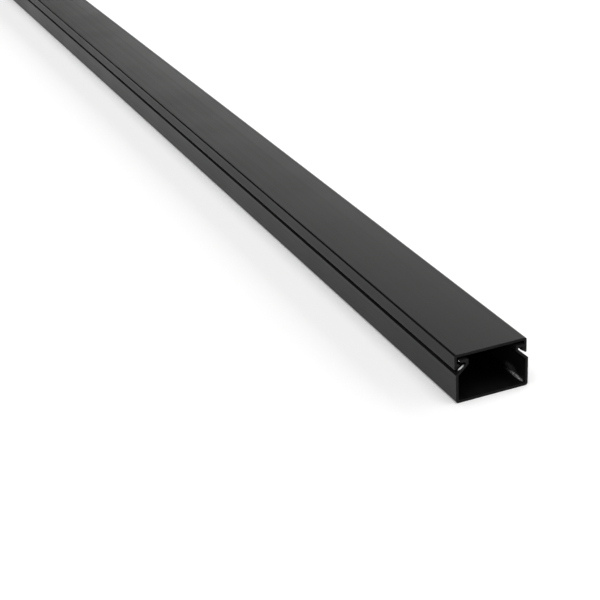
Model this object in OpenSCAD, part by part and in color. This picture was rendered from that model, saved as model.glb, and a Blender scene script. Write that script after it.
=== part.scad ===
// Mini cable trunking: an extruded base channel that is fixed to a wall, and a
// lid that clips over its two lips. X runs along the length, Z points away from the wall.

/* [Stock] */
// Length of the base channel as sold
stock_length = 1000; // [500:10:3000]
// Width across the side walls
overall_width = 25; // [20:0.5:60]
// Height from the wall face to the top of the lid
overall_height = 16; // [12:0.5:40]
// Distance that the lid stops short of the base at each end
lid_setback = 1; // [0:0.25:5]

/* [Base channel] */
// Thickness of the floor
floor_t = 0.9; // [0.7:0.05:1.5]
// Thickness of the side walls
wall_t = 0.85; // [0.7:0.05:1.2]
// Thickness of the folded lip and its flange
lip_t = 0.8; // [0.7:0.05:1.1]
// Distance from the outer wall face in to the open mouth
lip_reach = 4.3; // [4:0.1:6]
// Straight height of the lip below its flange
lip_upright = 0.6; // [0.6:0.1:1.2]

/* [Lid] */
// Thickness of the top plate
lid_t = 0.9; // [0.7:0.05:1.2]
// Thickness of the two skirts
skirt_t = 0.85; // [0.7:0.05:1]
// Height of the skirts from the top of the lid to their feet
skirt_depth = 5; // [4.4:0.1:6]
// Width of the flat foot of a skirt
foot_w = 0.45; // [0.4:0.05:0.6]
// Slope of the upper face of the catch, from level
catch_slope = 35; // [20:1:40]

/* [Fit] */
// Shadow gap in sight between the foot of a skirt and the shoulder of the base
groove = 1.4; // [1:0.05:2.5]
// Clearance between the lid and the top of a flange
seat_gap = 0.7; // [0.1:0.05:0.8]
// Clearance between a skirt and the tip of a flange
side_gap = 0.55; // [0.3:0.05:0.8]
// Clearance between the catch and the lower corner of a flange
catch_gap = 0.9; // [0.15:0.05:1]
// Distance that the catch reaches in under a flange
catch_overlap = 0.75; // [0.2:0.05:0.8]

/* [Edges] */
// Outer radius along the top of the lid
lid_edge_r = 0.7; // [0.3:0.1:0.8]
// Outer radius along the bottom of the base
base_edge_r = 0.9; // [0.2:0.1:1]
// Fillet between the floor and the walls
floor_fillet_r = 0.6; // [0.2:0.1:1.5]
// Radius where a wall folds into a lip
bend_r = 0.3; // [0.1:0.1:0.6]
// Radius of the small edges of the lips and catches
edge_r = 0.15; // [0.05:0.05:0.2]

/* [Hidden] */

black_pvc = [0.13, 0.13, 0.13];
arc_steps = 6;

half_w = overall_width / 2;
lid_length = stock_length - 2 * lid_setback;

// Heights of the clip, measured down from the top of the lid
lid_under_z = overall_height - lid_t;
flange_top_z = lid_under_z - seat_gap;
flange_under_z = flange_top_z - lip_t;
pocket_z = flange_under_z - lip_upright;
foot_z = overall_height - skirt_depth;
shoulder_z = foot_z - groove;

// Distances across the clip, measured in from the outer wall face
skirt_y = half_w - skirt_t;
flange_tip_y = skirt_y - side_gap;
catch_tip_y = flange_tip_y - catch_overlap;
mouth_y = half_w - lip_reach;
pocket_y = mouth_y + lip_t;

// Slope of the folded lip between the shoulder and the pocket under the flange
lip_slope = atan2(pocket_z - shoulder_z, half_w - pocket_y);

// Upper face of the catch, which passes the lower corner of the flange at catch_gap
catch_corner_z = flange_under_z - catch_gap;
catch_root_z = catch_corner_z + side_gap * tan(catch_slope);
catch_tip_z = catch_corner_z - catch_overlap * tan(catch_slope);

// Height of the inner face of the folded lip at a distance y from the middle
function lip_inner_z(y) = shoulder_z + (half_w - y) * tan(lip_slope) - lip_t / cos(lip_slope);

// Outlines of one half section as corners [y, z, radius]
base_half = [
    [half_w, 0, base_edge_r],
    [half_w, shoulder_z, bend_r],
    [pocket_y, pocket_z, edge_r],
    [pocket_y, flange_under_z, edge_r],
    [flange_tip_y, flange_under_z, edge_r],
    [flange_tip_y, flange_top_z, edge_r],
    [mouth_y, flange_top_z, edge_r],
    [mouth_y, lip_inner_z(mouth_y), bend_r],
    [half_w - wall_t, lip_inner_z(half_w - wall_t), bend_r],
    [half_w - wall_t, floor_t, floor_fillet_r]
];

lid_half = [
    [skirt_y, lid_under_z, edge_r],
    [skirt_y, catch_root_z, edge_r],
    [catch_tip_y, catch_tip_z, edge_r],
    [half_w - foot_w, foot_z, edge_r],
    [half_w, foot_z, edge_r],
    [half_w, overall_height, lid_edge_r]
];

// A half outline closed by its own mirror image
function both_halves(half) = concat(
    half,
    [for (i = [len(half) - 1 : -1 : 0]) [-half[i][0], half[i][1], half[i][2]]]
);

function unit(v) = v / norm(v);

// Points of the arc that rounds the corner at b, on the way from a to c
function corner_arc(a, b, c, r) = let (
    to_a = unit(a - b),
    to_c = unit(c - b),
    inside = acos(to_a * to_c),
    centre = b + unit(to_a + to_c) * r / sin(inside / 2),
    start = b + to_a * r / tan(inside / 2) - centre,
    first = atan2(start[1], start[0]),
    sweep = sign(cross(b - a, c - b)) * (180 - inside)
) [for (i = [0 : arc_steps])
    let (angle = first + sweep * i / arc_steps)
    centre + r * [cos(angle), sin(angle)]
];

// All the points of a closed outline with its corners rounded
function rounded(corners) = let (n = len(corners)) [
    for (i = [0 : n - 1])
    let (a = corners[(i + n - 1) % n], b = corners[i], c = corners[(i + 1) % n])
    each corner_arc([a[0], a[1]], [b[0], b[1]], [c[0], c[1]], b[2])
];

// A half outline run out along X as one straight extrusion
module extrusion(half, length) {
    rotate([90, 0, 90])
        linear_extrude(length, center = true)
            polygon(rounded(both_halves(half)));
}

module base() {
    color(black_pvc)
        extrusion(base_half, stock_length);
}

module lid() {
    color(black_pvc)
        extrusion(lid_half, lid_length);
}

base();
lid();
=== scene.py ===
import math

import bmesh
import bpy
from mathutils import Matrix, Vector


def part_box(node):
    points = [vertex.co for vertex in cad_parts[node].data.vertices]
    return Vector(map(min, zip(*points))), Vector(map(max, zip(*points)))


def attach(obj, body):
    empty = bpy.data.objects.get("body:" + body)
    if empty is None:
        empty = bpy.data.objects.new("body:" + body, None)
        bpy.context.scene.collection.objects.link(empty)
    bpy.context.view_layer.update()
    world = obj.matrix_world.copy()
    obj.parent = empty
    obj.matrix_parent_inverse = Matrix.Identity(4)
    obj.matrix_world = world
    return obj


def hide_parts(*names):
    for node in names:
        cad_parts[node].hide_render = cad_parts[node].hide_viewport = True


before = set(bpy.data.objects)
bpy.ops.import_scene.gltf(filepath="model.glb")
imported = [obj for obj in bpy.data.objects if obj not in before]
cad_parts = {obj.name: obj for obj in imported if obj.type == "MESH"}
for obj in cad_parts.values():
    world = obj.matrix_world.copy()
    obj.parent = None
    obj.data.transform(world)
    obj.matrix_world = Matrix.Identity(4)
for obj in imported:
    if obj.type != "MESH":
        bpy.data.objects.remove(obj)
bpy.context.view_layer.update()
scene = bpy.context.scene
scene.view_settings.view_transform = "Standard"
print("frame loaded:", ", ".join(sorted(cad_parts)))


# inputs are numbers, colours or other nodes' sockets, by name or by place
def putNode(tree, kind, settings=None, inputs=None):
    node = tree.nodes.new(kind)
    for name, value in (settings or {}).items():
        setattr(node, name, value)
    for name, value in (inputs or {}).items():
        socket = node.inputs[name]
        if isinstance(value, bpy.types.NodeSocket):
            tree.links.new(value, socket)
        else:
            socket.default_value = value
    return node


def mathNode(tree, operation, first, second=0.5):
    return putNode(tree, "ShaderNodeMath", {"operation": operation}, {0: first, 1: second}).outputs[0]


def rangeNode(tree, value, fromMin, fromMax, toMin=0.0, toMax=1.0):
    return putNode(tree, "ShaderNodeMapRange", {"interpolation_type": "SMOOTHSTEP"}, {
        "Value": value,
        "From Min": fromMin,
        "From Max": fromMax,
        "To Min": toMin,
        "To Max": toMax,
    }).outputs[0]


def noiseNode(tree, vector, scale, detail, roughness=0.5):
    return putNode(tree, "ShaderNodeTexNoise", None, {
        "Vector": vector,
        "Scale": scale,
        "Detail": detail,
        "Roughness": roughness,
    }).outputs[0]


def splitNode(tree, vector):
    return putNode(tree, "ShaderNodeSeparateXYZ", None, {0: vector}).outputs


def lengthNode(tree, vector):
    return putNode(tree, "ShaderNodeVectorMath", {"operation": "LENGTH"}, {0: vector}).outputs["Value"]


def stretchNode(tree, vector, scale, shift=(0.0, 0.0, 0.0)):
    return putNode(tree, "ShaderNodeMapping", None, {
        "Vector": vector,
        "Location": shift,
        "Scale": scale,
    }).outputs[0]


def bumpNode(tree, height, distance, under=None):
    inputs = {"Height": height, "Distance": distance}
    if under is not None:
        inputs["Normal"] = under
    return putNode(tree, "ShaderNodeBump", None, inputs).outputs[0]


def grey(level, warmth=1.0):
    return (level, level, level * warmth, 1.0)


def mixColour(tree, factor, first, second):
    return putNode(tree, "ShaderNodeMix", {"data_type": "RGBA"}, {0: factor, 6: first, 7: second}).outputs[2]


def newMaterial(name):
    material = bpy.data.materials.new(name)
    material.use_nodes = True
    tree = material.node_tree
    tree.nodes.clear()
    output = putNode(tree, "ShaderNodeOutputMaterial")
    shader = putNode(tree, "ShaderNodeBsdfPrincipled")
    tree.links.new(shader.outputs[0], output.inputs["Surface"])
    return material, tree, shader


# black PVC as it leaves the die: satin, with faint lines along the length and a fine grain
pvcLook = {
    "darkest": 0.003,
    "palest": 0.008,
    "warmth": 0.98,      # blue of the palest parts, against their red and green
    "roughLow": 0.34,
    "roughHigh": 0.42,
    "specular": 0.188,
    "edgeShine": 0.20,   # taken off the roughness on the rounded edges and the folds
    "drift": 2.2,        # added to it for each metre towards -Y
    "dieLineScale": (1.2, 900.0, 900.0),   # stretched along X
    "dieLineDetail": 3.0,
    "dieLineBreak": 0.6,
    "dieLineHeight": 0.000004,
    "dieLineShare": 0.6,   # of the colour's variation, the rest is clouds
    "cloudScale": 38.0,
    "cloudDetail": 4.0,
    "grainScale": 5200.0,
    "grainDetail": 1.0,
    "grainHeight": 0.000003,
    "variation": (0.3, 0.7),   # from the darkest to the palest
}

# how far a face leans, from 0 upright to 1 level
leanLook = {"upright": 0.05, "leaning": 0.30, "sloping": 0.90, "level": 0.99}

# painted highlights and painted light at the near end, laid as pale marks into the base's colour
paintedLightLook = {
    "colour": 0.95,
    "dull": 0.5,               # added to the roughness
    "fade": (1.0, 0.5),        # from the rim of a mark in to where it is full
    "speckScale": 2300.0,
    "speckDetail": 3.0,
    "speckCover": (0.38, 0.60),
}
paintedLightMarks = {
    # a painted highlight along the foot of the right wall
    "streak": {   # along the foot of the right wall
        "place": (0.49460, 0.01130, 0.00100),
        "half": (0.0050, 0.0007, 0.0007),
        "tilt": 0.0,   # about X
        "turn": 0.0,   # about Z
        "strength": 0.9,
        "broken": 0.7,   # how far the specks break it up
    },
    # painted light on the inner right wall, fainter than the streak
    "haze": {   # fainter, behind the streak
        "place": (0.49100, 0.01120, 0.00205),
        "half": (0.0048, 0.0012, 0.0020),
        "tilt": 0.0,
        "turn": 0.0,
        "strength": 0.13,
        "broken": 1.0,
    },
    # a painted highlight on the slope of the left lip
    "sliver": {   # on the slope of the left lip
        "place": (0.49930, -0.01045, 0.01159),
        "half": (0.00055, 0.0015, 0.0004),
        "tilt": 44.2,
        "turn": -20.0,
        "strength": 1.0,
        "broken": 0.0,
    },
    # a painted highlight on the tip of the left flange
    "speck": {   # on the tip of the left flange
        "place": (0.49910, -0.01110, 0.01382),
        "half": (0.0005, 0.0003, 0.0004),
        "tilt": 0.0,
        "turn": 0.0,
        "strength": 1.0,
        "broken": 0.0,
    },
}


# the mask of the painted highlights and painted light, each mark broken up by specks
def paintedLightMask(tree, coords):
    noise = noiseNode(tree, coords, paintedLightLook["speckScale"], paintedLightLook["speckDetail"])
    specks = rangeNode(tree, noise, *paintedLightLook["speckCover"])
    total = 0.0
    for mark in paintedLightMarks.values():
        spot = putNode(tree, "ShaderNodeMapping", {"vector_type": "TEXTURE"}, {
            "Vector": coords,
            "Location": mark["place"],
            "Rotation": (math.radians(mark["tilt"]), 0.0, math.radians(mark["turn"])),
            "Scale": mark["half"],
        }).outputs[0]
        solid = rangeNode(tree, lengthNode(tree, spot), *paintedLightLook["fade"], 0.0, mark["strength"])
        speckled = mathNode(tree, "MAXIMUM", specks, 1.0 - mark["broken"])
        total = mathNode(tree, "MAXIMUM", mathNode(tree, "MULTIPLY", solid, speckled), total)
    return total


# the die polishes the rounded edges most, and one side more than the other
def dullness(tree, sideDull):
    given = putNode(tree, "ShaderNodeTexCoord").outputs
    lean = mathNode(tree, "ABSOLUTE", splitNode(tree, given["Normal"])["Z"])
    upright = rangeNode(tree, lean, leanLook["leaning"], leanLook["upright"], 0.0, sideDull)
    polish = rangeNode(tree, lean, leanLook["upright"], leanLook["leaning"], 0.0, -pvcLook["edgeShine"])
    bent = mathNode(tree, "MULTIPLY", polish, rangeNode(tree, lean, leanLook["level"], leanLook["sloping"]))
    drift = mathNode(tree, "MULTIPLY", splitNode(tree, given["Object"])["Y"], -pvcLook["drift"])
    return mathNode(tree, "ADD", mathNode(tree, "ADD", upright, bent), drift)


def satinPvc(name, look, paintedLight=False):
    material, tree, shader = newMaterial(name)
    coords = putNode(tree, "ShaderNodeTexCoord").outputs["Object"]
    drawn = stretchNode(tree, coords, pvcLook["dieLineScale"], look["shift"])
    dieLines = noiseNode(tree, drawn, 1.0, pvcLook["dieLineDetail"], pvcLook["dieLineBreak"])
    clouds = noiseNode(tree, coords, pvcLook["cloudScale"], pvcLook["cloudDetail"])
    grain = noiseNode(tree, coords, pvcLook["grainScale"], pvcLook["grainDetail"])
    lineShare = mathNode(tree, "MULTIPLY", dieLines, pvcLook["dieLineShare"])
    cloudShare = mathNode(tree, "MULTIPLY", clouds, 1.0 - pvcLook["dieLineShare"])
    blend = mathNode(tree, "ADD", lineShare, cloudShare)
    darkest = grey(pvcLook["darkest"])
    palest = grey(pvcLook["palest"], pvcLook["warmth"])
    colour = mixColour(tree, rangeNode(tree, blend, *pvcLook["variation"]), darkest, palest)
    rough = rangeNode(tree, blend, *pvcLook["variation"], pvcLook["roughLow"], pvcLook["roughHigh"])
    rough = mathNode(tree, "ADD", rough, dullness(tree, look["sideDull"]))
    # pale painted highlights and painted light in the base's colour, made a little rougher
    if paintedLight:
        litMarks = paintedLightMask(tree, coords)
        colour = mixColour(tree, litMarks, colour, grey(paintedLightLook["colour"]))
        rough = mathNode(tree, "ADD", rough, mathNode(tree, "MULTIPLY", litMarks, paintedLightLook["dull"]))
    ridges = bumpNode(tree, dieLines, pvcLook["dieLineHeight"])
    skin = bumpNode(tree, grain, pvcLook["grainHeight"], ridges)
    tree.links.new(colour, shader.inputs["Base Color"])
    tree.links.new(rough, shader.inputs["Roughness"])
    tree.links.new(skin, shader.inputs["Normal"])
    shader.inputs["Specular IOR Level"].default_value = pvcLook["specular"]
    return material


# the square saw cut at both ends: dull, with fine tooth marks across it
cutLook = {
    "dark": 0.007,
    "pale": 0.015,
    "variation": (0.3, 0.7),   # from the dark to the pale
    "rough": 0.85,
    "specular": 0.08,
    "toothScale": (300.0, 260.0, 2600.0),
    "toothDetail": 4.0,
    "toothBreak": 0.65,
    "toothHeight": 0.00002,
}


def sawnPvc():
    material, tree, shader = newMaterial("sawnPvc")
    coords = putNode(tree, "ShaderNodeTexCoord").outputs["Object"]
    across = stretchNode(tree, coords, cutLook["toothScale"])
    teeth = noiseNode(tree, across, 1.0, cutLook["toothDetail"], cutLook["toothBreak"])
    marked = rangeNode(tree, teeth, *cutLook["variation"])
    colour = mixColour(tree, marked, grey(cutLook["dark"]), grey(cutLook["pale"]))
    tree.links.new(colour, shader.inputs["Base Color"])
    tree.links.new(bumpNode(tree, teeth, cutLook["toothHeight"]), shader.inputs["Normal"])
    shader.inputs["Roughness"].default_value = cutLook["rough"]
    shader.inputs["Specular IOR Level"].default_value = cutLook["specular"]
    return material


shapeLook = {
    "cutEdge": 0.00005,     # the arris that the saw leaves, eased
    "cutEdgeSteps": 2,
    "cutEdgeAngle": 60.0,   # sharper edges than this are eased
    "flatWeight": 80,       # keeps the flats flat beside the rounded edges
    "cutFacing": 0.9,       # share of a face's normal along X from which it is a cut
    "sidePart": 0.5,        # and below which a CAD face is a side
    "samePlace": 0.000001,  # points closer than this are one
}


# one node tree runs any section out along X and closes it at both cuts
def extrusionTree():
    tree = bpy.data.node_groups.new("extrusion", "GeometryNodeTree")
    sockets = {"Section": "Geometry", "Length": "Float", "Skin": "Material", "Cut": "Material"}
    for name, kind in sockets.items():
        tree.interface.new_socket(name, in_out="INPUT", socket_type="NodeSocket" + kind)
    tree.interface.new_socket("Extrusion", in_out="OUTPUT", socket_type="NodeSocketGeometry")
    given = putNode(tree, "NodeGroupInput").outputs
    ends = {}
    for end, share in (("Start", -0.5), ("End", 0.5)):
        x = mathNode(tree, "MULTIPLY", given["Length"], share)
        ends[end] = putNode(tree, "ShaderNodeCombineXYZ", None, {"X": x}).outputs[0]
    path = putNode(tree, "GeometryNodeCurvePrimitiveLine", None, ends).outputs[0]
    path = putNode(tree, "GeometryNodeSetCurveNormal", {"mode": "Z_UP"}, {"Curve": path}).outputs[0]
    outline = putNode(tree, "GeometryNodeMeshToCurve", None, {"Mesh": given["Section"]}).outputs[0]
    swept = putNode(tree, "GeometryNodeCurveToMesh", None, {
        "Curve": path,
        "Profile Curve": outline,
        "Fill Caps": True,
    }).outputs[0]
    smooth = putNode(tree, "GeometryNodeSetShadeSmooth", None, {"Geometry": swept}).outputs[0]
    real = putNode(tree, "GeometryNodeRealizeInstances", None, {"Geometry": smooth}).outputs[0]
    normal = putNode(tree, "GeometryNodeInputNormal").outputs[0]
    along = mathNode(tree, "ABSOLUTE", splitNode(tree, normal)["X"])
    skinned = putNode(tree, "GeometryNodeSetMaterial", None, {
        "Geometry": real,
        "Material": given["Skin"],
    }).outputs[0]
    sawn = putNode(tree, "GeometryNodeSetMaterial", None, {
        "Geometry": skinned,
        "Selection": mathNode(tree, "GREATER_THAN", along, shapeLook["cutFacing"]),
        "Material": given["Cut"],
    }).outputs[0]
    putNode(tree, "NodeGroupOutput", None, {0: sawn})
    return tree


# the edge of a CAD node's cut face, walked as one loop of (y, z)
def sectionOutline(nodeName):
    near = shapeLook["samePlace"]
    bm = bmesh.new()
    bm.from_mesh(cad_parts[nodeName].data)
    bmesh.ops.remove_doubles(bm, verts=bm.verts, dist=near)
    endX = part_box(nodeName)[1].x
    rim = {v: [] for v in bm.verts if abs(v.co.x - endX) < near}
    for edge in bm.edges:
        a, b = edge.verts
        bySide = any(abs(f.normal.x) < shapeLook["sidePart"] for f in edge.link_faces)
        if a in rim and b in rim and bySide:
            rim[a].append(b)
            rim[b].append(a)
    loop = [min(rim, key=lambda v: (v.co.z, v.co.y))]
    before = None
    while True:
        ahead = [v for v in rim[loop[-1]] if v is not before][0]
        if ahead is loop[0]:
            break
        before = loop[-1]
        loop.append(ahead)
    outline = [(v.co.y, v.co.z) for v in loop]
    bm.free()
    return outline


def sweepSection(name, outline, tree, values):
    count = len(outline)
    mesh = bpy.data.meshes.new(name + "Section")
    # Curve to Mesh turns a section half round about X, so it goes in turned
    points = [(-y, -z, 0) for y, z in outline]
    mesh.from_pydata(points, [(i, (i + 1) % count) for i in range(count)], [])
    section = bpy.data.objects.new(name + "Section", mesh)
    scene.collection.objects.link(section)
    modifier = section.modifiers.new("extrusion", "NODES")
    modifier.node_group = tree
    for item in tree.interface.items_tree:
        if item.name in values:
            modifier[item.identifier] = values[item.name]
    depsgraph = bpy.context.evaluated_depsgraph_get()
    swept = bpy.data.meshes.new_from_object(section.evaluated_get(depsgraph))
    bpy.data.objects.remove(section)
    swept.name = name
    return swept


# the caps come loose from the sides, so they are joined before the faces are turned outwards
def joinCaps(mesh):
    bm = bmesh.new()
    bm.from_mesh(mesh)
    bmesh.ops.remove_doubles(bm, verts=bm.verts, dist=shapeLook["samePlace"])
    bmesh.ops.recalc_face_normals(bm, faces=bm.faces)
    bm.to_mesh(mesh)
    bm.free()


def extrudePiece(name, nodeName, tree, skin, cut):
    outline = sectionOutline(nodeName)
    low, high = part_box(nodeName)
    length = high.x - low.x
    mesh = sweepSection(name, outline, tree, {"Length": length, "Skin": skin, "Cut": cut})
    joinCaps(mesh)
    piece = bpy.data.objects.new(name, mesh)
    scene.collection.objects.link(piece)
    bevel = piece.modifiers.new("cutEdge", "BEVEL")
    bevel.width = shapeLook["cutEdge"]
    bevel.segments = shapeLook["cutEdgeSteps"]
    bevel.limit_method = "ANGLE"
    bevel.angle_limit = math.radians(shapeLook["cutEdgeAngle"])
    bevel.use_clamp_overlap = False
    flats = piece.modifiers.new("flats", "WEIGHTED_NORMAL")
    flats.weight = shapeLook["flatWeight"]
    print(name, len(outline), "points in the section,", round(length, 4), "m long")
    return piece


# two dies: where each one's lines start, and what is added to the roughness of its upright faces
baseLook = {"shift": (0.0, 0.0, 0.0), "sideDull": 0.0}
lidLook = {"shift": (0.0, 7.3, 2.1), "sideDull": 0.05}
# the base carries the painted highlights and painted light at its near end
basePvc = satinPvc("basePvc", baseLook, paintedLight=True)
lidPvc = satinPvc("lidPvc", lidLook)
cutPvc = sawnPvc()
print("materials made")

extrusion = extrusionTree()
baseChannel = extrudePiece("baseChannel", "base", extrusion, basePvc, cutPvc)
clipLid = extrudePiece("clipLid", "lid", extrusion, lidPvc, cutPvc)
for piece, body, node in ((baseChannel, "channel", "base"), (clipLid, "cover", "lid")):
    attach(piece, body)
    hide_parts(node)
print("pieces made")

cameraView = {
    "place": (0.83528, -0.19574, 0.22039),
    "turn": (64.258, 2.926, 66.748),
    "lens": 86.845,
    "sensor": 36.0,
    "nearest": 0.01,
}
cameraData = bpy.data.cameras.new("camera")
cameraData.sensor_width = cameraView["sensor"]
cameraData.lens = cameraView["lens"]
cameraData.clip_start = cameraView["nearest"]
camera = bpy.data.objects.new("camera", cameraData)
camera.location = cameraView["place"]
camera.rotation_euler = [math.radians(a) for a in cameraView["turn"]]
scene.collection.objects.link(camera)
scene.camera = camera

# a pale floor that the camera and reflections see a little brighter than it is lit, and more so far away
floorLook = {
    "half": 60.0,
    "colour": 0.86,
    "rough": 0.9,
    "specular": 0.0,
    "glowColour": 1.0,
    "glow": (0.16, 0.50),      # near and far
    "glowReach": (0.6, 1.5),   # distances where it starts to rise and is full
}
half = floorLook["half"]
corners = [(-half, -half, 0), (half, -half, 0), (half, half, 0), (-half, half, 0)]
floorMesh = bpy.data.meshes.new("floor")
floorMesh.from_pydata(corners, [], [(0, 1, 2, 3)])
floor = bpy.data.objects.new("floor", floorMesh)
scene.collection.objects.link(floor)
floorPaint, floorTree, floorShader = newMaterial("floorPaint")
floorShader.inputs["Base Color"].default_value = grey(floorLook["colour"])
floorShader.inputs["Roughness"].default_value = floorLook["rough"]
floorShader.inputs["Specular IOR Level"].default_value = floorLook["specular"]
floorShader.inputs["Emission Color"].default_value = grey(floorLook["glowColour"])
rays = putNode(floorTree, "ShaderNodeLightPath").outputs
seen = mathNode(floorTree, "MAXIMUM", rays["Is Camera Ray"], rays["Is Glossy Ray"])
seen = mathNode(floorTree, "MAXIMUM", seen, rays["Is Transmission Ray"])
away = lengthNode(floorTree, putNode(floorTree, "ShaderNodeTexCoord").outputs["Object"])
glow = rangeNode(floorTree, away, *floorLook["glowReach"], *floorLook["glow"])
floorTree.links.new(mathNode(floorTree, "MULTIPLY", glow, seen), floorShader.inputs["Emission Strength"])
floorMesh.materials.append(floorPaint)

# a wide soft light from above, a long panel on the right that the lid reflects,
# and two weaker ones, past the near end and on the left
lampLook = {
    "above": {
        "kind": "SUN",
        "place": (0.2, -0.2, 2.3),
        "aim": (0.0, 0.0, 0.0),
        "spread": 55.0,
        "power": 2.2,
        "colour": (1.0, 1.0, 1.0),
    },
    "rightPanel": {
        "kind": "AREA",
        "place": (-2.0, 1.6, 0.865),
        "aim": (-2.0, 0.0, 0.865),
        "size": (12.0, 1.63),
        "power": 106.0,
        "colour": (1.0, 1.0, 0.99),
    },
    "endPanel": {
        "kind": "AREA",
        "place": (3.2, 0.0, 0.95),
        "aim": (0.0, 0.0, 0.95),
        "size": (8.0, 1.8),
        "power": 15.0,
        "colour": (1.0, 1.0, 1.0),
    },
    "leftPanel": {
        "kind": "AREA",
        "place": (3.1, -1.8, 0.95),
        "aim": (3.1, 0.0, 0.95),
        "size": (6.0, 1.8),
        "power": 24.0,
        "colour": (1.0, 1.0, 1.0),
    },
}
for name, lamp in lampLook.items():
    data = bpy.data.lights.new(name, lamp["kind"])
    if lamp["kind"] == "SUN":
        data.angle = math.radians(lamp["spread"])
    else:
        data.shape = "RECTANGLE"
        data.size, data.size_y = lamp["size"]
    data.energy = lamp["power"]
    data.color = lamp["colour"]
    panel = bpy.data.objects.new(name, data)
    panel.location = lamp["place"]
    aimX, aimY, aimZ = [a - b for a, b in zip(lamp["aim"], lamp["place"])]
    panel.rotation_euler = (math.atan2(math.hypot(aimX, aimY), -aimZ), 0.0, math.atan2(-aimX, aimY))
    panel.visible_camera = False
    scene.collection.objects.link(panel)
roomLook = {"colour": 1.0, "strength": 0.05}
room = bpy.data.worlds.new("room")
room.use_nodes = True
background = room.node_tree.nodes["Background"]
background.inputs["Color"].default_value = grey(roomLook["colour"])
background.inputs["Strength"].default_value = roomLook["strength"]
scene.world = room
print("camera, floor and lights set")
